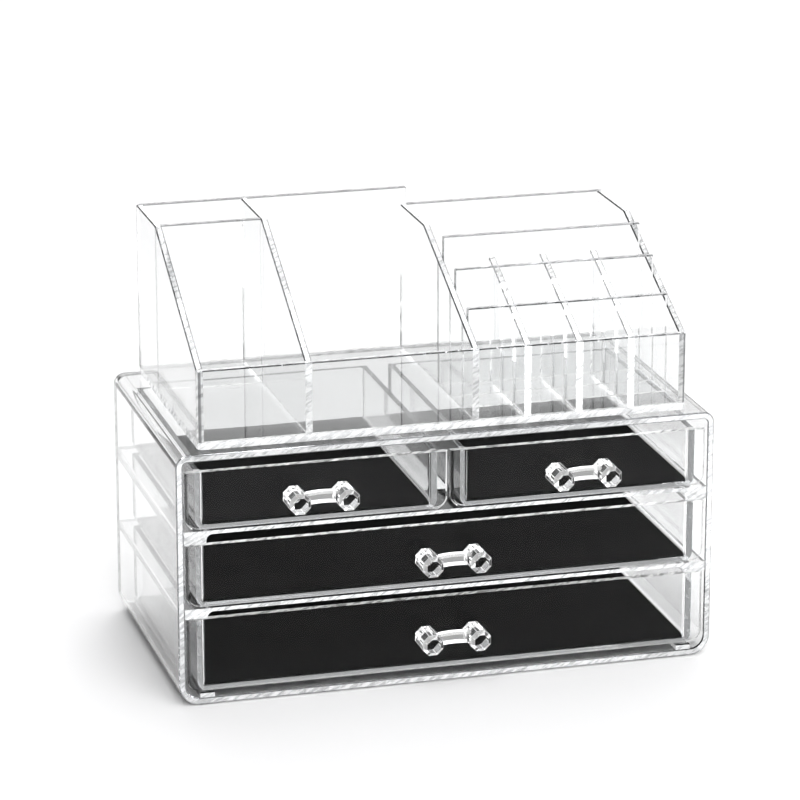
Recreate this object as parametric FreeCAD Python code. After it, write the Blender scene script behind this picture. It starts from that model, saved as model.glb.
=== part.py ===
import FreeCAD, Part
import math
import os

# Clear organizer in two stacked units: a chest of four drawers and a partitioned tray that stands on it.
# Millimetres. X runs to the right, Y from the front to the back, Z up.
# The origin is in the middle of the footprint, handles included, on the surface that the chest stands on.

# Chest
chest_width = 238.0
chest_depth = 126.0
chest_height = 111.2
shell = 3.0                   # thickness of the sleeve
foot_radius = 9.0             # outer lower corners of the sleeve
shoulder_radius = 5.0         # outer upper corners of the sleeve
back_thickness = 3.0
bond = 0.05                   # cement line between bonded pieces
edge_ease = 0.5               # small bevel on exposed edges
overcut = 5.0                 # how far a cutting solid runs past what it cuts
same_place = 1e-4             # points closer than this are one

# Tiers, from the bottom up
runner_height = 2.5
runner_width = 6.4
lower_bay = 36.1              # clear height over the runners
middle_bay = 32.9             # clear height over the lower shelf
shelf = 1.6
ledge_width = 9.7             # ledges under the ends of a shelf, which keep a pulled drawer from tipping
ledge_gap = 0.5               # between a ledge and the drawer under it
cove_radius = 2.8             # rounded corner between ledge and shelf

# Drawers
rear_room = 5.0               # between a closed drawer and the back panel
front_plate = 3.0             # thickness of the drawer front
front_overlap = 4.5           # how far the front stands past the drawer's sides
front_corner = 5.5            # lower corners of the front
front_round = 1.4             # rounded rim of the front
drawer_wall = 2.4
drawer_floor = 1.7
drawer_edge = 4.0             # outer lower edges
drawer_corner = 1.8           # inner upright corners
drawer_floor_edge = 0.4       # bevel between floor and walls, inside
side_gap = 0.8                # between a drawer front and the sleeve
run_gap = 0.3                 # under a drawer
twin_gap = 1.2                # between the two small drawers
upper_head = 4.5              # open height over a drawer, in each tier
middle_head = 4.7
lower_head = 3.2

# Handles
knob_sides = 8
knob_flats = 9.0              # across opposite faces
knob_length = 13.5
knob_bevel = 1.5              # faceted front end
knob_spacing = 21.2
bar_height = 5.2
bar_depth = 4.4
bar_gap = 4.8                 # finger room behind the bar
bar_rise = 1.2                # arch of the bar
bar_ease = 1.0
handle_drop = 1.0             # below the middle of the drawer front
spigot_diameter = 3.0
spigot_depth = 1.4

# Liners
liner_thickness = 1.2
liner_corner = 1.6

# Tray
tray_width = 215.8
tray_depth = 119.4
tray_set_back = 6.0           # behind the front of the chest
tray_rest = 0.15              # seat between tray and chest
tray_wall = 3.0
tray_floor = 3.0
tray_corner = 2.5             # outer upright corners
front_height = 34.5           # heights over the underside of the tray
front_cross_height = 47.0
rear_cross_height = 59.5
bank_height = 69.2            # rear of the lipstick bank
brush_rise = 7.8              # rear of the brush bay, over the bank
brush_bay = 34.6              # front to back
jar_bay = 44.0                # left to right
middle_span = 70.2            # left to right
slot_columns = 4
slot_depth = 15.7             # front to back

# Derived places
front_y = (knob_length - chest_depth) / 2
back_y = front_y + chest_depth
inner_x = chest_width / 2 - shell
runner_top = shell + runner_height
lower_shelf_z = runner_top + lower_bay
lower_shelf_top = lower_shelf_z + shelf
upper_shelf_z = lower_shelf_top + middle_bay
upper_shelf_top = upper_shelf_z + shelf
ceiling_z = chest_height - shell
back_panel_y = back_y - back_thickness
drawer_back_y = back_panel_y - rear_room

tray_z = chest_height + tray_rest
tray_x = tray_width / 2
back_height = bank_height + brush_rise
tray_front_y = front_y + tray_set_back
tray_back_y = tray_front_y + tray_depth
tray_in_front = tray_front_y + tray_wall
tray_in_back = tray_back_y - tray_wall
tray_in_x = tray_x - tray_wall
floor_z = tray_z + tray_floor
brush_front_y = tray_in_back - brush_bay - tray_wall
left_divider_x = -tray_in_x + jar_bay
centre_divider_x = left_divider_x + tray_wall + middle_span
slots_x = centre_divider_x + tray_wall
slot_width = (tray_in_x - slots_x - (slot_columns - 1) * tray_wall) / slot_columns
front_cross_y = tray_in_front + slot_depth
rear_cross_y = front_cross_y + tray_wall + slot_depth
slot_back_y = rear_cross_y + tray_wall + slot_depth


def point(x, y, z):
    return FreeCAD.Vector(x, y, z)


def box(x0, x1, y0, y1, z0, z1):
    return Part.makeBox(x1 - x0, y1 - y0, z1 - z0, point(x0, y0, z0))


def outline(corners, place):
    """Closed wire through flat corners (a, b, radius); place turns (a, b) into a point."""
    count = len(corners)
    edges = []
    ends = []
    for i in range(count):
        a, b, radius = corners[i]
        here = FreeCAD.Vector(a, b, 0)
        before = FreeCAD.Vector(corners[i - 1][0], corners[i - 1][1], 0) - here
        after = FreeCAD.Vector(corners[(i + 1) % count][0], corners[(i + 1) % count][1], 0) - here
        before.normalize()
        after.normalize()
        if radius <= 0:
            ends.append((here, None, here))
            continue
        half = before.getAngle(after) / 2
        middle = before + after
        middle.normalize()
        reach = radius / math.tan(half)
        bulge = here + middle * (radius / math.sin(half) - radius)
        ends.append((here + before * reach, bulge, here + after * reach))
    for i in range(count):
        start, bulge, end = ends[i]
        if bulge is not None:
            arc = Part.Arc(place(start.x, start.y), place(bulge.x, bulge.y), place(end.x, end.y))
            edges.append(arc.toShape())
        following = ends[(i + 1) % count][0]
        if (following - end).Length > same_place:
            edges.append(Part.makeLine(place(end.x, end.y), place(following.x, following.y)))
    return Part.Wire(edges)


def bar_along_y(corners, y0, y1):
    """Section drawn in X and Z, run from y0 to y1."""
    wire = outline(corners, lambda a, b: point(a, y0, b))
    return Part.Face(wire).extrude(point(0, y1 - y0, 0))


def plate_upright(corners, x0, x1):
    """Side view drawn in Y and Z, run from x0 to x1."""
    wire = outline(corners, lambda a, b: point(x0, a, b))
    return Part.Face(wire).extrude(point(x1 - x0, 0, 0))


def plate_flat(corners, z0, z1):
    """Plan drawn in X and Y, run from z0 to z1."""
    wire = outline(corners, lambda a, b: point(a, b, z0))
    return Part.Face(wire).extrude(point(0, 0, z1 - z0))


def eased(solid, wanted):
    """Solid with a small bevel on the edges that wanted(edge) picks."""
    return solid.makeChamfer(edge_ease, [edge for edge in solid.Edges if wanted(edge)])


def all_at(edge, axis, value):
    """True where every point of the edge has this value on one axis."""
    return all(abs(spot[axis] - value) < same_place for spot in edge.discretize(5))


def eased_along_top(wall):
    """Plate that runs from left to right, with a small bevel on its two long upper edges."""
    extent = wall.BoundBox
    return eased(wall, lambda edge: all_at(edge, 2, extent.ZMax) and edge.BoundBox.XLength > extent.YLength)


def save(name, solid):
    solid.exportStep("parts/" + name + ".step")


def make_sleeve():
    half = chest_width / 2
    foot_in = foot_radius - shell
    shoulder_in = shoulder_radius - shell
    outer = bar_along_y([(-half, 0, foot_radius), (half, 0, foot_radius),
                         (half, chest_height, shoulder_radius),
                         (-half, chest_height, shoulder_radius)], front_y, back_y)
    inner = bar_along_y([(-inner_x, shell, foot_in), (inner_x, shell, foot_in),
                         (inner_x, ceiling_z, shoulder_in),
                         (-inner_x, ceiling_z, shoulder_in)], front_y - overcut, back_y + overcut)
    sleeve = outer.cut(inner)
    return eased(sleeve, lambda edge: all_at(edge, 1, front_y))


def make_back_panel():
    foot_in = foot_radius - shell - bond
    shoulder_in = shoulder_radius - shell - bond
    x = inner_x - bond
    low = shell + bond
    high = ceiling_z - bond
    return bar_along_y([(-x, low, foot_in), (x, low, foot_in), (x, high, shoulder_in),
                        (-x, high, shoulder_in)], back_panel_y, back_y)


def make_shelf(underside, head):
    """Thin shelf with a coved ledge under each end, down to just over the drawer below."""
    x = inner_x - bond
    bay_x = inner_x - ledge_width
    top = underside + shelf
    ledge_low = underside - head + ledge_gap
    hollow_low = underside - head - cove_radius
    slab = bar_along_y([(-x, ledge_low, 0), (x, ledge_low, 0), (x, top, 0), (-x, top, 0)],
                       front_y, back_panel_y - bond)
    hollow = bar_along_y([(-bay_x, hollow_low, 0), (bay_x, hollow_low, 0), (bay_x, underside, cove_radius),
                          (-bay_x, underside, cove_radius)], front_y - overcut, back_y)
    return slab.cut(hollow)


def make_runner(side):
    outer = inner_x - (foot_radius - shell) - bond
    ends = sorted([side * outer, side * (outer - runner_width)])
    runner = box(ends[0], ends[1], front_y, back_panel_y - bond, shell + bond, runner_top)
    return eased(runner, lambda edge: all_at(edge, 1, front_y) and edge.BoundBox.ZMin > shell + 2 * bond)


def knob_places(centre_x):
    return [centre_x - knob_spacing / 2, centre_x + knob_spacing / 2]


def make_drawer(x0, x1, z0, z1):
    """Open box behind a wider front plate with a rounded rim, and blind sockets for the handle."""
    box_front = front_y + front_plate
    plate = bar_along_y([(x0, z0, front_corner), (x1, z0, front_corner), (x1, z1, 0), (x0, z1, 0)],
                        front_y, box_front)
    rim = [edge for edge in plate.Edges if all_at(edge, 1, front_y) and not all_at(edge, 2, z1)]
    plate = plate.makeFillet(front_round, rim)
    side0 = x0 + front_overlap
    side1 = x1 - front_overlap
    walls = bar_along_y([(side0, z0, drawer_edge), (side1, z0, drawer_edge), (side1, z1, 0), (side0, z1, 0)],
                        box_front, drawer_back_y)
    hollow = box(side0 + drawer_wall, side1 - drawer_wall, box_front, drawer_back_y - drawer_wall,
                 z0 + drawer_floor, z1 + overcut)
    upright = [edge for edge in hollow.Edges if edge.BoundBox.ZLength > overcut]
    hollow = hollow.makeFillet(drawer_corner, upright)
    low = [edge for edge in hollow.Edges if all_at(edge, 2, z0 + drawer_floor)]
    hollow = hollow.makeChamfer(drawer_floor_edge, low)
    drawer = plate.fuse(walls).cut(hollow).removeSplitter()
    for x in knob_places((x0 + x1) / 2):
        socket = Part.makeCylinder(spigot_diameter / 2 + bond, spigot_depth + bond,
                                   point(x, front_y, handle_height(z0, z1)), point(0, 1, 0))
        drawer = drawer.cut(socket)
    return drawer


def handle_height(z0, z1):
    return (z0 + z1) / 2 - handle_drop


def knob_ring(x, y, z, flats):
    """Eight-sided outline with a flat face upwards."""
    radius = flats / 2 / math.cos(math.pi / knob_sides)
    turns = [2 * math.pi * (i + 0.5) / knob_sides for i in range(knob_sides + 1)]
    return Part.makePolygon([point(x + radius * math.sin(t), y, z + radius * math.cos(t)) for t in turns])


def make_handle(centre_x, z):
    """Two faceted knobs joined by a shallow arched bar, one piece, with a spigot behind each knob."""
    seat_y = front_y - bond
    tip_y = front_y - knob_length
    shoulder_y = tip_y + knob_bevel
    half = knob_spacing / 2
    low = z - bar_height / 2
    high = z + bar_height / 2
    bar_y = front_y - bar_gap - bar_depth

    def place(x, height):
        return point(centre_x + x, bar_y, height)

    under = Part.Arc(place(-half, low), place(0, low + bar_rise), place(half, low)).toShape()
    over = Part.Arc(place(half, high), place(0, high + bar_rise), place(-half, high)).toShape()
    right = Part.makeLine(place(half, low), place(half, high))
    left = Part.makeLine(place(-half, high), place(-half, low))
    bar = Part.Face(Part.Wire([under, right, over, left])).extrude(point(0, bar_depth, 0))
    handle = bar.makeChamfer(bar_ease, [edge for edge in bar.Edges if edge.Length > half])
    for x in knob_places(centre_x):
        shank = Part.Face(knob_ring(x, shoulder_y, z, knob_flats)).extrude(point(0, seat_y - shoulder_y, 0))
        nose = Part.makeLoft([knob_ring(x, tip_y, z, knob_flats - 2 * knob_bevel),
                              knob_ring(x, shoulder_y, z, knob_flats)], True, True)
        spigot = Part.makeCylinder(spigot_diameter / 2, spigot_depth + bond,
                                   point(x, seat_y, z), point(0, 1, 0))
        handle = handle.fuse([shank, nose, spigot])
    return handle.removeSplitter()


def make_liner(x0, x1, z0):
    inset = front_overlap + drawer_wall + drawer_floor_edge
    a = x0 + inset
    b = x1 - inset
    y0 = front_y + front_plate + drawer_floor_edge
    y1 = drawer_back_y - drawer_wall - drawer_floor_edge
    low = z0 + drawer_floor + bond
    return plate_flat([(a, y0, liner_corner), (b, y0, liner_corner), (b, y1, liner_corner),
                       (a, y1, liner_corner)], low, low + liner_thickness)


def slope_height(y, rear_height):
    """Top of a sloping wall over the tray's underside, from the front wall up to the shoulder."""
    share = (y - tray_in_front) / (brush_front_y - tray_in_front)
    return front_height + share * (rear_height - front_height)


def sloping_wall(x0, x1, rear_height):
    """Wall that stands level at the back and slopes down to the front wall."""
    front = tray_in_front + bond
    back = tray_in_back - bond
    low = floor_z + bond
    high = tray_z + rear_height
    wall = plate_upright([(front, low, 0), (back, low, 0), (back, high, 0),
                          (brush_front_y, high, tray_wall), (front, tray_z + front_height, 0)], x0, x1)
    return eased(wall, lambda edge: is_top_side(edge, x0, x1, low, back))


def is_top_side(edge, x0, x1, low, back):
    """Long upper edges on either face of an upright plate."""
    on_face = all_at(edge, 0, x0) or all_at(edge, 0, x1)
    on_foot = all_at(edge, 2, low)
    on_back = all_at(edge, 1, back)
    on_front = all_at(edge, 1, tray_in_front + bond)
    return on_face and not on_foot and not on_back and not on_front


def slot_divider_x(index):
    return slots_x + index * slot_width + (index - 1) * tray_wall


def halving_height(y):
    """Where a slot divider and a cross partition share their crossing."""
    return (floor_z + tray_z + slope_height(y, bank_height)) / 2


def make_slot_divider(index):
    """Sloping divider, notched from above for the two cross partitions."""
    x0 = slot_divider_x(index)
    x1 = x0 + tray_wall
    front = tray_in_front + bond
    back = slot_back_y - bond
    low = floor_z + bond
    high = tray_z + slope_height(back, bank_height)
    front_high = tray_z + slope_height(front, bank_height)
    divider = plate_upright([(front, low, 0), (back, low, 0), (back, high, 0),
                             (front, front_high, 0)], x0, x1)
    divider = eased(divider, lambda edge: is_top_side(edge, x0, x1, low, back))
    for y in (front_cross_y, rear_cross_y):
        notch = box(x0 - overcut, x1 + overcut, y - bond, y + tray_wall + bond,
                    halving_height(y) - bond, tray_z + back_height)
        divider = divider.cut(notch)
    return divider


def make_cross_partition(y, height):
    """Level-topped partition across the slots, notched from below over each slot divider."""
    x0 = slots_x + bond
    x1 = tray_in_x - bond
    partition = eased_along_top(box(x0, x1, y, y + tray_wall, floor_z + bond, tray_z + height))
    for index in range(1, slot_columns):
        x = slot_divider_x(index)
        notch = box(x - bond, x + tray_wall + bond, y - overcut, y + tray_wall + overcut,
                    tray_z, halving_height(y))
        partition = partition.cut(notch)
    return partition


def make_slot_back():
    x0 = slots_x + bond
    x1 = tray_in_x - bond
    wall = box(x0, x1, slot_back_y, slot_back_y + tray_wall, floor_z + bond, tray_z + bank_height)
    return eased_along_top(wall)


def make_brush_partition():
    x0 = -tray_in_x + bond
    x1 = left_divider_x - bond
    wall = box(x0, x1, brush_front_y, brush_front_y + tray_wall, floor_z + bond, tray_z + back_height)
    return eased_along_top(wall)


def make_tray_base():
    r = tray_corner
    return plate_flat([(-tray_x, tray_front_y, r), (tray_x, tray_front_y, r), (tray_x, tray_back_y, r),
                       (-tray_x, tray_back_y, r)], tray_z, floor_z)


def make_front_wall():
    high = tray_z + front_height
    wall = plate_flat([(-tray_x, tray_front_y, tray_corner), (tray_x, tray_front_y, tray_corner),
                       (tray_x, tray_in_front, 0), (-tray_x, tray_in_front, 0)], floor_z + bond, high)
    return eased(wall, lambda edge: all_at(edge, 2, high))


def make_back_wall():
    """Full height behind the brush and middle bays, lower behind the lipstick bank."""
    low = floor_z + bond
    high = tray_z + back_height
    step = tray_z + bank_height
    tall = plate_flat([(-tray_x, tray_in_back, 0), (slots_x, tray_in_back, 0), (slots_x, tray_back_y, 0),
                       (-tray_x, tray_back_y, tray_corner)], low, high)
    tall = eased(tall, lambda edge: all_at(edge, 2, high))
    short = plate_flat([(slots_x, tray_in_back, 0), (tray_x, tray_in_back, 0),
                        (tray_x, tray_back_y, tray_corner), (slots_x, tray_back_y, 0)], low, step)
    short = eased(short, lambda edge: all_at(edge, 2, step) and not all_at(edge, 0, slots_x))
    return tall.fuse(short).removeSplitter()


os.makedirs("parts", exist_ok=True)

save("chest_sleeve", make_sleeve())
save("chest_back_panel", make_back_panel())
save("lower_shelf", make_shelf(lower_shelf_z, lower_head))
save("upper_shelf", make_shelf(upper_shelf_z, middle_head))
save("left_runner", make_runner(-1))
save("right_runner", make_runner(1))

drawer_x = inner_x - side_gap
drawers = {
    "top_left": (-drawer_x, -twin_gap / 2, upper_shelf_top, ceiling_z - upper_head),
    "top_right": (twin_gap / 2, drawer_x, upper_shelf_top, ceiling_z - upper_head),
    "middle": (-drawer_x, drawer_x, lower_shelf_top, upper_shelf_z - middle_head),
    "lower": (-drawer_x, drawer_x, runner_top, lower_shelf_z - lower_head),
}
for name, (x0, x1, bed, top) in drawers.items():
    low = bed + run_gap
    save(name + "_drawer", make_drawer(x0, x1, low, top))
    save(name + "_handle", make_handle((x0 + x1) / 2, handle_height(low, top)))
    save(name + "_liner", make_liner(x0, x1, low))

save("tray_base", make_tray_base())
save("tray_front_wall", make_front_wall())
save("tray_back_wall", make_back_wall())
save("tray_left_wall", sloping_wall(-tray_x, -tray_in_x, back_height))
save("tray_right_wall", sloping_wall(tray_in_x, tray_x, bank_height))
save("left_divider", sloping_wall(left_divider_x, left_divider_x + tray_wall, back_height))
save("centre_divider", sloping_wall(centre_divider_x, centre_divider_x + tray_wall, bank_height))
save("brush_partition", make_brush_partition())
for index in range(1, slot_columns):
    save("slot_divider_%d" % index, make_slot_divider(index))
save("front_cross_partition", make_cross_partition(front_cross_y, front_cross_height))
save("rear_cross_partition", make_cross_partition(rear_cross_y, rear_cross_height))
save("slot_back_wall", make_slot_back())
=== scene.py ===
import math

import bmesh
import bpy
from mathutils import Matrix, Vector


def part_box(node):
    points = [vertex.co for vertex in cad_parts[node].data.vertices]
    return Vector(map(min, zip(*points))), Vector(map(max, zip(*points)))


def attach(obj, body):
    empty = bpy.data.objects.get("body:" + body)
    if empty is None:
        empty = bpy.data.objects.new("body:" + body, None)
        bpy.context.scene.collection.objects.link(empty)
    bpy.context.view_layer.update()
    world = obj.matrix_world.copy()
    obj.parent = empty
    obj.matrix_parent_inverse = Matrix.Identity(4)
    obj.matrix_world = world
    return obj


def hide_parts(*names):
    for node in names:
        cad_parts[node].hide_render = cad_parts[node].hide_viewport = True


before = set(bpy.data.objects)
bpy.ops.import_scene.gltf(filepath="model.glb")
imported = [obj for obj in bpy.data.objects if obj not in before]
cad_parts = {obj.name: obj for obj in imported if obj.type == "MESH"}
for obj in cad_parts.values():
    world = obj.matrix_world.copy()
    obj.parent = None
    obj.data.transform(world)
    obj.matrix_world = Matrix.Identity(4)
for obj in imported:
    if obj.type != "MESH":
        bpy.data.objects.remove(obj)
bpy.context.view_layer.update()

# Camera, as the photograph was taken: left of the front, a little above, with a long lens
VIEW_TURN = math.radians(15.61)
VIEW_RISE = math.radians(17.19)
VIEW_DISTANCE = 1.757
VIEW_TARGET = Vector((-0.00434, 0.00675, 0.10792))
VIEW_LENS = 180.48
VIEW_SENSOR = 36.0

# Directions on the floor: along the line of sight, and to the right of it
AHEAD = Vector((math.sin(VIEW_TURN), math.cos(VIEW_TURN), 0.0))
ACROSS = Vector((math.cos(VIEW_TURN), -math.sin(VIEW_TURN), 0.0))

# Tone of the studio's walls, from the camera's side (0) round to the far side (1)
WALL_TONES = ((0.0, 0.03), (0.5, 0.08), (0.75, 0.2), (0.9, 0.58), (1.0, 0.64))

# Softboxes: place and aim (ahead, across and up), width, length and power
SOFTBOXES = {
    "overhead_softbox": ((0.2, 0.25, 1.5), (0.2, 0.25, 0.0), 2.0, 5.2, 42.0),
    "backdrop_softbox": ((3.4, 0.0, 2.8), (3.4, 0.0, 0.0), 2.2, 2.2, 66.0),
    "key_softbox": ((-1.3, 0.2, 1.6), (0.0, 0.0, 0.0), 1.8, 1.8, 33.0),
}

# Snoot that lights the floor beside the chest: place and aim, power, beam in degrees, and size
SNOOT_PLACE = (0.4, 1.0, 0.95)
SNOOT_AIM = (0.16, 0.12, 0.0)
SNOOT_POWER = 46.0
SNOOT_BEAM = 17.0
SNOOT_SIZE = 0.05

# Floor: half its width, its drop under the chest, and its tone, with painted shade that darkens it to the
# sides
FLOOR_REACH = 6.0
FLOOR_DROP = 0.0003
FLOOR_TONE = (0.86, 0.86, 0.865, 1.0)
FLOOR_SIDE_SHADE = (0.6, 0.6, 0.605, 1.0)
FLOOR_FADE = (0.2, 0.75)

# Clear plastic: colour of its surface and its body, and weak reflections where a face is seen straight on
CLEAR = (0.99, 0.992, 0.992, 1.0)
PLASTIC_IOR = 1.49
REFLECTION_TINT = (0.12, 0.12, 0.12, 1.0)
BODY_TINT = (0.909, 0.912, 0.914, 1.0)
BODY_DENSITY = 40.0
CLEAN_ROUGHNESS = 0.004

# Saw-cut edges: the bevels' painted shade and the streaks, how squarely a bevel and an edge look
# along the edge's own facing, and the share of a piece over which its edges fade out
PAINTED_BEVEL_SHADE = (0.14, 0.14, 0.145, 1.0)
STREAK_SLANT = (0.6, 0.45, 0.7)
STREAK_SPREAD = (160.0, 160.0, 700.0)
STREAK_DEPTH = 0.00002
BEVEL_STARTS = (0.2, 0.5)
EDGE_STARTS = (0.76, 0.88)
FADE_LENGTH = 0.02

# Ways that the narrow faces of a sheet look
ALONG_Y = (0, 1, 0)
ALONG_Z = (0, 0, 1)
ALONG_XY = (1, 1, 0)
ALONG_XZ = (1, 0, 1)
ALONG_YZ = (0, 1, 1)

# Handles, in metres
KNOB_SIDES = 8
KNOB_SPACING = 0.0212
KNOB_RADIUS = 0.00487
KNOB_BEVEL = 0.0015
# Width of the painted highlight lines along the knobs' facet edges
FACET_HIGHLIGHT_WIDTH = 0.0003
handle_low, handle_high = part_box("lower_handle")
HANDLE_SIZE = handle_high - handle_low

# Felt liners: tones of the pile, its dust and its lint, and the pads' round corners and soft edges in metres
PILE = (0.005, 0.005, 0.0055, 1.0)
DUSTY_PILE = (0.016, 0.016, 0.017, 1.0)
LINT = (0.06, 0.06, 0.062, 1.0)
PILE_DEPTH = 0.00025
PAD_CORNER = 0.0016
PAD_EDGE = 0.0004
CORNER_STEPS = 10

DRAWERS = ("top_left", "top_right", "middle", "lower")


def feed(tree, socket, value):
    """Link a node's output to a socket, or give the socket its own value."""
    if isinstance(value, bpy.types.NodeSocket):
        tree.links.new(value, socket)
    else:
        socket.default_value = value


def maths(tree, operation, first, second=0.0):
    node = tree.nodes.new("ShaderNodeMath")
    node.operation = operation
    feed(tree, node.inputs[0], first)
    feed(tree, node.inputs[1], second)
    return node.outputs["Value"]


def vectors(tree, operation, first, second=(0.0, 0.0, 0.0)):
    node = tree.nodes.new("ShaderNodeVectorMath")
    node.operation = operation
    feed(tree, node.inputs[0], first)
    feed(tree, node.inputs[1], second)
    return node.outputs["Value" if operation in ("LENGTH", "DOT_PRODUCT") else "Vector"]


def split(tree, vector):
    """The X, Y and Z of a vector."""
    node = tree.nodes.new("ShaderNodeSeparateXYZ")
    feed(tree, node.inputs["Vector"], vector)
    return node.outputs


def rise(tree, value, start, end, low=0.0, high=1.0):
    """Smooth step from low, where value is at start, to high, where it is at end."""
    node = tree.nodes.new("ShaderNodeMapRange")
    node.interpolation_type = "SMOOTHSTEP"
    settings = {"Value": value, "From Min": start, "From Max": end, "To Min": low, "To Max": high}
    for label, given in settings.items():
        feed(tree, node.inputs[label], given)
    return node.outputs["Result"]


def noise(tree, place, scale, detail, roughness=0.5, distortion=0.0):
    node = tree.nodes.new("ShaderNodeTexNoise")
    settings = {"Vector": place, "Scale": scale, "Detail": detail, "Roughness": roughness,
                "Distortion": distortion}
    for label, given in settings.items():
        feed(tree, node.inputs[label], given)
    return node.outputs["Fac"]


def blend(tree, share, first, second):
    """Colour between first and second."""
    node = tree.nodes.new("ShaderNodeMix")
    node.data_type = "RGBA"
    feed(tree, node.inputs["Factor"], share)
    colours = [socket for socket in node.inputs if socket.type == "RGBA"]
    feed(tree, colours[0], first)
    feed(tree, colours[1], second)
    return [socket for socket in node.outputs if socket.type == "RGBA"][0]


def bump(tree, height, depth, normal=None):
    node = tree.nodes.new("ShaderNodeBump")
    node.inputs["Distance"].default_value = depth
    feed(tree, node.inputs["Height"], height)
    if normal is not None:
        feed(tree, node.inputs["Normal"], normal)
    return node.outputs["Normal"]


def new_group(name, inputs, outputs):
    """Shader node group. Inputs are names with their defaults, and a default of None marks a vector."""
    group = bpy.data.node_groups.new(name, "ShaderNodeTree")
    for label, default in inputs.items():
        kind = "NodeSocketVector" if default is None else "NodeSocketFloat"
        socket = group.interface.new_socket(name=label, in_out="INPUT", socket_type=kind)
        if default is not None:
            socket.default_value = default
    for label in outputs:
        group.interface.new_socket(name=label, in_out="OUTPUT", socket_type="NodeSocketFloat")
    return group, group.nodes.new("NodeGroupInput").outputs, group.nodes.new("NodeGroupOutput").inputs


def moulding_ripple():
    """Slow waviness of moulded and cast sheet, as a height."""
    group, given, made = new_group("moulding_ripple", {"Place": None, "Waves": 30.0}, ["Height"])
    feed(group, made["Height"], noise(group, given["Place"], given["Waves"], 1.5, 0.4))
    return group


def handling_marks():
    """Faint finger smears and dust haze that dull a polished face here and there, as a roughness."""
    group, given, made = new_group("handling_marks", {"Place": None, "Clean": 0.005, "Marked": 0.05},
                                   ["Roughness"])
    smear = noise(group, given["Place"], 45.0, 5.0, 0.5, 1.2)
    feed(group, made["Roughness"], rise(group, smear, 0.58, 0.78, given["Clean"], given["Marked"]))
    return group


def edge_finish_and_painted_light():
    """Saw-cut edges of a sheet: slanting streaks as a height, a frosted roughness, a painted glow standing
    in for the light that gathers in the edges, and painted shade along their bevels. Edges says which ways
    the narrow faces look. They stay plain below Above, a share of the piece's height, and behind Before, a
    share of its depth."""
    group, given, made = new_group(
        "edge_finish_and_painted_light",
        {"Place": None, "Level": None, "Facing": None, "Edges": None, "Spread": None, "Above": -1.0,
         "Before": 2.0, "Polished": 0.01, "Frosted": 0.15},
        ["Height", "Roughness", "Glow", "Shade"])
    narrow = vectors(group, "LENGTH", vectors(group, "MULTIPLY", given["Facing"], given["Edges"]))
    level = split(group, given["Level"])
    over = rise(group, maths(group, "SUBTRACT", level["Z"], given["Above"]), 0.0, FADE_LENGTH)
    ahead = rise(group, maths(group, "SUBTRACT", level["Y"], given["Before"]), FADE_LENGTH, 0.0)
    wanted = maths(group, "MULTIPLY", over, ahead)
    edge = maths(group, "MULTIPLY", rise(group, narrow, EDGE_STARTS[0], EDGE_STARTS[1]), wanted)
    # Mask of the painted shade: the bevels, between the flat faces and the narrow edges
    bevel = maths(group, "MULTIPLY", rise(group, narrow, BEVEL_STARTS[0], BEVEL_STARTS[1]),
                  rise(group, narrow, EDGE_STARTS[1], EDGE_STARTS[0]))
    slant = group.nodes.new("ShaderNodeVectorRotate")
    slant.rotation_type = "EULER_XYZ"
    slant.inputs["Rotation"].default_value = STREAK_SLANT
    feed(group, slant.inputs["Vector"], given["Place"])
    drawn_out = vectors(group, "MULTIPLY", slant.outputs["Vector"], given["Spread"])
    streak = noise(group, drawn_out, 1.0, 2.0, 0.55)
    lit = rise(group, streak, 0.36, 0.6, 0.25, 1.0)
    feed(group, made["Height"], maths(group, "MULTIPLY", streak, edge))
    feed(group, made["Roughness"], rise(group, edge, 0.0, 1.0, given["Polished"], given["Frosted"]))
    # Painted glow: emission along the edges, broken up by the streaks
    feed(group, made["Glow"], maths(group, "MULTIPLY", lit, edge))
    feed(group, made["Shade"], maths(group, "MULTIPLY", bevel, wanted))
    return group


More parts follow.
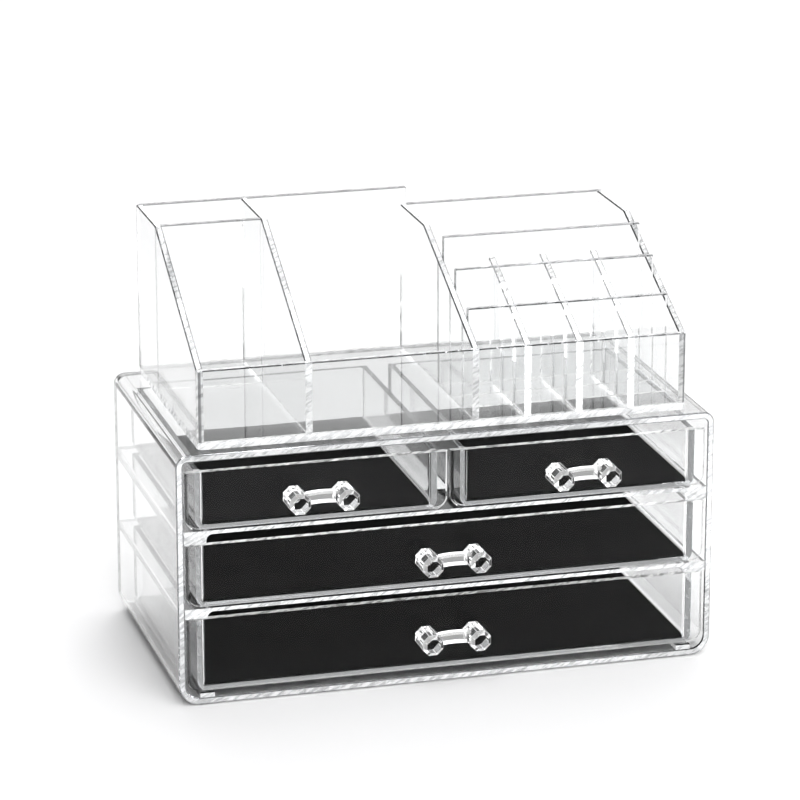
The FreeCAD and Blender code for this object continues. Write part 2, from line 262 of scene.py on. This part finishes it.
def painted_facet_highlights():
    """Painted highlights in a handle, as emission: fine lines where the facets of the two knobs meet, and a
    glow where the bevelled ends and the bar between the knobs look up."""
    group, given, made = new_group("painted_facet_highlights", {"Level": None, "Facing": None}, ["Glow"])
    from_middle = vectors(group, "SUBTRACT", given["Level"], (0.5, 0.5, 0.5))
    spot = split(group, vectors(group, "MULTIPLY", from_middle, HANDLE_SIZE))
    facing = split(group, given["Facing"])
    across = maths(group, "SUBTRACT", maths(group, "ABSOLUTE", spot["X"]), KNOB_SPACING / 2)
    up = spot["Z"]
    radius = maths(group, "SQRT", maths(group, "ADD", maths(group, "MULTIPLY", across, across),
                                        maths(group, "MULTIPLY", up, up)))
    sector = 2 * math.pi / KNOB_SIDES
    turn = maths(group, "FRACT", maths(group, "DIVIDE", maths(group, "ARCTAN2", up, across), sector))
    aside = maths(group, "MULTIPLY", maths(group, "ABSOLUTE", maths(group, "SUBTRACT", turn, 0.5)), sector)
    lines = rise(group, maths(group, "MULTIPLY", aside, radius), FACET_HIGHLIGHT_WIDTH, FACET_HIGHLIGHT_WIDTH / 3)
    front = -HANDLE_SIZE[1] / 2
    for ring in (front, front + KNOB_BEVEL):
        away = maths(group, "ABSOLUTE", maths(group, "SUBTRACT", spot["Y"], ring))
        lines = maths(group, "MAXIMUM", lines, rise(group, away, FACET_HIGHLIGHT_WIDTH, FACET_HIGHLIGHT_WIDTH / 3))
    # The flat ends look straight forward and show no painted lines; the bevelled ends look half forward
    forward = maths(group, "ABSOLUTE", facing["Y"])
    lines = maths(group, "MULTIPLY", lines, rise(group, forward, 0.95, 0.85))
    bevelled = maths(group, "MULTIPLY", rise(group, forward, 0.5, 0.6), rise(group, forward, 0.9, 0.8))
    upward = maths(group, "SUBTRACT", facing["Z"], facing["X"])
    # Painted highlight where the bevelled ends look up
    end = maths(group, "MULTIPLY", bevelled, rise(group, upward, -0.3, 0.6, 0.0, 0.8))
    # What lies past a knob's corners is the bar, painted brighter where it looks up
    on_knob = rise(group, radius, KNOB_RADIUS * 1.06, KNOB_RADIUS * 1.01)
    knob = maths(group, "MULTIPLY", maths(group, "MAXIMUM", lines, end), on_knob)
    bar = maths(group, "MULTIPLY", rise(group, facing["Z"], -0.2, 0.6, 0.25, 1.0),
                maths(group, "SUBTRACT", 1.0, on_knob))
    feed(group, made["Glow"], maths(group, "MAXIMUM", knob, bar))
    return group


RIPPLE = moulding_ripple()
MARKS = handling_marks()
EDGES = edge_finish_and_painted_light()
FACET_HIGHLIGHTS = painted_facet_highlights()


def start_material(name):
    material = bpy.data.materials.new(name)
    material.use_nodes = True
    tree = material.node_tree
    coordinates = tree.nodes.new("ShaderNodeTexCoord").outputs
    return material, tree, tree.nodes["Principled BSDF"].inputs, coordinates


def use_group(tree, group, **given):
    node = tree.nodes.new("ShaderNodeGroup")
    node.node_tree = group
    for label, value in given.items():
        feed(tree, node.inputs[label], value)
    return node.outputs


def clear_plastic(name, waves, depth, marked, glow, edges=None, above=-1.0, before=2.0):
    """Polished clear plastic with slow waviness and a few finger smears. With edges it has the narrow faces
    of a sheet, with a painted glow and painted shade along them, and without them the facets of a handle,
    with painted highlights as emission."""
    material, tree, shader, coordinates = start_material(name)
    place = coordinates["Object"]
    shader["Base Color"].default_value = CLEAR
    shader["Transmission Weight"].default_value = 1.0
    shader["IOR"].default_value = PLASTIC_IOR
    shader["Specular Tint"].default_value = REFLECTION_TINT
    # Emission strength of the painted glow on edges, or of the painted highlights on a handle
    shader["Emission Strength"].default_value = glow
    ripple = use_group(tree, RIPPLE, Place=place, Waves=waves)
    marks = use_group(tree, MARKS, Place=place, Clean=CLEAN_ROUGHNESS, Marked=marked)
    wavy = bump(tree, ripple["Height"], depth)
    if edges:
        finish = use_group(tree, EDGES, Place=place, Level=coordinates["Generated"],
                           Facing=coordinates["Normal"], Edges=edges, Spread=STREAK_SPREAD, Above=above,
                           Before=before, Polished=marks["Roughness"])
        # Painted shade: the colour darkens along the bevels
        feed(tree, shader["Base Color"], blend(tree, finish["Shade"], CLEAR, PAINTED_BEVEL_SHADE))
        feed(tree, shader["Roughness"], finish["Roughness"])
        # Painted glow along the edges, as emission
        feed(tree, shader["Emission Color"], finish["Glow"])
        feed(tree, shader["Normal"], bump(tree, finish["Height"], STREAK_DEPTH, wavy))
    else:
        facets = use_group(tree, FACET_HIGHLIGHTS, Level=coordinates["Generated"], Facing=coordinates["Normal"])
        feed(tree, shader["Roughness"], marks["Roughness"])
        # Painted highlights on the handle's facets, as emission
        feed(tree, shader["Emission Color"], facets["Glow"])
        feed(tree, shader["Normal"], wavy)
    absorb = tree.nodes.new("ShaderNodeVolumeAbsorption")
    absorb.inputs["Color"].default_value = BODY_TINT
    absorb.inputs["Density"].default_value = BODY_DENSITY
    feed(tree, tree.nodes["Material Output"].inputs["Volume"], absorb.outputs["Volume"])
    return material


def black_felt():
    """Short black pile, slightly dusty in patches, with a few specks of lint."""
    material, tree, shader, coordinates = start_material("black_felt")
    place = coordinates["Object"]
    dusty = blend(tree, noise(tree, place, 60.0, 4.0), PILE, DUSTY_PILE)
    lint = rise(tree, noise(tree, place, 520.0, 2.0, 0.6), 0.7, 0.76)
    feed(tree, shader["Base Color"], blend(tree, lint, dusty, LINT))
    feed(tree, shader["Normal"], bump(tree, noise(tree, place, 2600.0, 3.0), PILE_DEPTH))
    shader["Roughness"].default_value = 0.85
    shader["Specular IOR Level"].default_value = 0.15
    return material


def dress(material, *nodes):
    for node in nodes:
        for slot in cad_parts[node].material_slots:
            slot.material = material


def rounded_loop(mesh, low, high, inset, z):
    """Points round a pad at one height, with round corners, drawn in by inset."""
    left, right = low.x + PAD_CORNER, high.x - PAD_CORNER
    front, rear = low.y + PAD_CORNER, high.y - PAD_CORNER
    radius = PAD_CORNER - inset
    loop = []
    for quarter, (x, y) in enumerate([(right, rear), (left, rear), (left, front), (right, front)]):
        for step in range(CORNER_STEPS + 1):
            turn = math.pi / 2 * (quarter + step / CORNER_STEPS)
            loop.append(mesh.verts.new((x + radius * math.cos(turn), y + radius * math.sin(turn), z)))
    return loop


def make_liner(drawer, material):
    """Felt pad with rounded corners and soft edges, lying on the drawer's floor."""
    node = drawer + "_liner"
    low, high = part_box(node)
    rings = [(PAD_EDGE, low.z), (0.0, low.z + PAD_EDGE), (0.0, high.z - PAD_EDGE), (PAD_EDGE, high.z)]
    mesh = bmesh.new()
    loops = [rounded_loop(mesh, low, high, inset, z) for inset, z in rings]
    for lower, upper in zip(loops, loops[1:]):
        for i in range(len(lower)):
            j = (i + 1) % len(lower)
            mesh.faces.new((lower[i], lower[j], upper[j], upper[i]))
    mesh.faces.new(loops[-1])
    mesh.faces.new(list(reversed(loops[0])))
    data = bpy.data.meshes.new(node + "_pad")
    mesh.to_mesh(data)
    mesh.free()
    data.materials.append(material)
    pad = bpy.data.objects.new(node + "_pad", data)
    bpy.context.scene.collection.objects.link(pad)
    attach(pad, drawer + "_drawer_body")
    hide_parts(node)


def make_floor():
    """Pale floor with painted shade: its colour darkens a little to either side of the line of sight."""
    corners = [(-1, -1), (1, -1), (1, 1), (-1, 1)]
    data = bpy.data.meshes.new("floor")
    data.from_pydata([(x * FLOOR_REACH, y * FLOOR_REACH, -FLOOR_DROP) for x, y in corners], [],
                     [(0, 1, 2, 3)])
    floor = bpy.data.objects.new("floor", data)
    bpy.context.scene.collection.objects.link(floor)
    material, tree, shader, coordinates = start_material("pale_floor")
    sideways = maths(tree, "ABSOLUTE", vectors(tree, "DOT_PRODUCT", coordinates["Object"], ACROSS))
    # Painted shade: the floor's colour darkens away from the line of sight
    fade = rise(tree, sideways, FLOOR_FADE[0], FLOOR_FADE[1])
    feed(tree, shader["Base Color"], blend(tree, fade, FLOOR_TONE, FLOOR_SIDE_SHADE))
    shader["Roughness"].default_value = 0.7
    shader["Specular IOR Level"].default_value = 0.15
    data.materials.append(material)


def make_walls():
    """Bright-field studio: a pale wall behind, dark sides and a dark front."""
    world = bpy.data.worlds.new("studio")
    bpy.context.scene.world = world
    world.use_nodes = True
    tree = world.node_tree
    ramp = tree.nodes.new("ShaderNodeValToRGB")
    while len(ramp.color_ramp.elements) < len(WALL_TONES):
        ramp.color_ramp.elements.new(0.5)
    for element, (position, tone) in zip(ramp.color_ramp.elements, WALL_TONES):
        element.position = position
        element.color = (tone, tone, tone, 1.0)
    around = tree.nodes.new("ShaderNodeTexCoord").outputs["Generated"]
    along = vectors(tree, "DOT_PRODUCT", around, AHEAD)
    feed(tree, ramp.inputs["Fac"], maths(tree, "ADD", maths(tree, "MULTIPLY", along, 0.5), 0.5))
    feed(tree, tree.nodes["Background"].inputs["Color"], ramp.outputs["Color"])


def studio_place(place):
    """Point in the frame from its distances ahead, across and up."""
    ahead, across, up = place
    return AHEAD * ahead + ACROSS * across + Vector((0.0, 0.0, up))


def make_softbox(name, place, aim, width, length, power):
    """Soft light whose length lies along the line of sight."""
    data = bpy.data.lights.new(name, "AREA")
    data.shape = "RECTANGLE"
    data.size = width
    data.size_y = length
    data.energy = power
    lamp = bpy.data.objects.new(name, data)
    lamp.location = studio_place(place)
    back = (lamp.location - studio_place(aim)).normalized()
    side = AHEAD.cross(back).normalized()
    lamp.rotation_euler = Matrix((side, back.cross(side), back)).transposed().to_euler()
    lamp.visible_camera = False
    bpy.context.scene.collection.objects.link(lamp)


def make_snoot():
    """Narrow light that brightens the floor seen through the chest's right walls."""
    data = bpy.data.lights.new("side_snoot", "SPOT")
    data.energy = SNOOT_POWER
    data.spot_size = math.radians(SNOOT_BEAM)
    data.spot_blend = 1.0
    data.shadow_soft_size = SNOOT_SIZE
    lamp = bpy.data.objects.new("side_snoot", data)
    lamp.location = studio_place(SNOOT_PLACE)
    aim = studio_place(SNOOT_AIM) - lamp.location
    lamp.rotation_euler = aim.to_track_quat("-Z", "Y").to_euler()
    lamp.visible_camera = False
    bpy.context.scene.collection.objects.link(lamp)


def make_camera():
    back = Vector((-math.sin(VIEW_TURN) * math.cos(VIEW_RISE), -math.cos(VIEW_TURN) * math.cos(VIEW_RISE),
                   math.sin(VIEW_RISE)))
    data = bpy.data.cameras.new("camera")
    data.lens = VIEW_LENS
    data.sensor_width = VIEW_SENSOR
    data.sensor_fit = "HORIZONTAL"
    data.clip_end = 50.0
    camera = bpy.data.objects.new("camera", data)
    camera.location = VIEW_TARGET + back * VIEW_DISTANCE
    camera.rotation_euler = (-back).to_track_quat("-Z", "Y").to_euler()
    bpy.context.scene.collection.objects.link(camera)
    bpy.context.scene.camera = camera


def let_light_through():
    """Enough bounces for light to cross every clear wall."""
    cycles = bpy.context.scene.cycles
    cycles.max_bounces = 48
    cycles.transmission_bounces = 40
    cycles.glossy_bounces = 24
    cycles.diffuse_bounces = 4
    bpy.context.scene.view_settings.view_transform = "Standard"


# Chest
dress(clear_plastic("sleeve_acrylic", waves=22.0, depth=0.00008, marked=0.04, glow=0.3, edges=ALONG_Y),
      "chest_sleeve")
dress(clear_plastic("shelf_acrylic", waves=25.0, depth=0.00006, marked=0.04, glow=0.38, edges=ALONG_Y),
      "lower_shelf", "upper_shelf", "left_runner", "right_runner")

# Tray, and the chest's back panel, which has the finish of the tray's cross walls
dress(clear_plastic("base_acrylic", waves=25.0, depth=0.00006, marked=0.04, glow=0.35, edges=ALONG_XY),
      "tray_base")
dress(clear_plastic("front_acrylic", waves=25.0, depth=0.00006, marked=0.04, glow=0.32, edges=ALONG_XZ),
      "tray_front_wall")
dress(clear_plastic("side_acrylic", waves=25.0, depth=0.00006, marked=0.04, glow=0.32, edges=ALONG_YZ,
                    before=0.975),
      "tray_left_wall", "tray_right_wall", "left_divider", "centre_divider")
dress(clear_plastic("slot_acrylic", waves=25.0, depth=0.00006, marked=0.04, glow=0.5, edges=ALONG_YZ),
      "slot_divider_1", "slot_divider_2", "slot_divider_3")
dress(clear_plastic("cross_acrylic", waves=25.0, depth=0.00006, marked=0.04, glow=0.32, edges=ALONG_Z),
      "tray_back_wall", "brush_partition", "front_cross_partition", "rear_cross_partition",
      "slot_back_wall", "chest_back_panel")

# Drawers, with a painted glow on the rims of their front plates only
drawer_acrylic = clear_plastic("drawer_acrylic", waves=30.0, depth=0.00008, marked=0.05, glow=0.5,
                               edges=ALONG_Z, above=0.96, before=0.03)
handle_acrylic = clear_plastic("handle_acrylic", waves=120.0, depth=0.00003, marked=0.02, glow=0.5)
felt = black_felt()
for drawer in DRAWERS:
    dress(drawer_acrylic, drawer + "_drawer")
    dress(handle_acrylic, drawer + "_handle")
    make_liner(drawer, felt)

# Studio
make_floor()
make_walls()
for name, settings in SOFTBOXES.items():
    make_softbox(name, *settings)
make_snoot()
make_camera()
let_light_through()
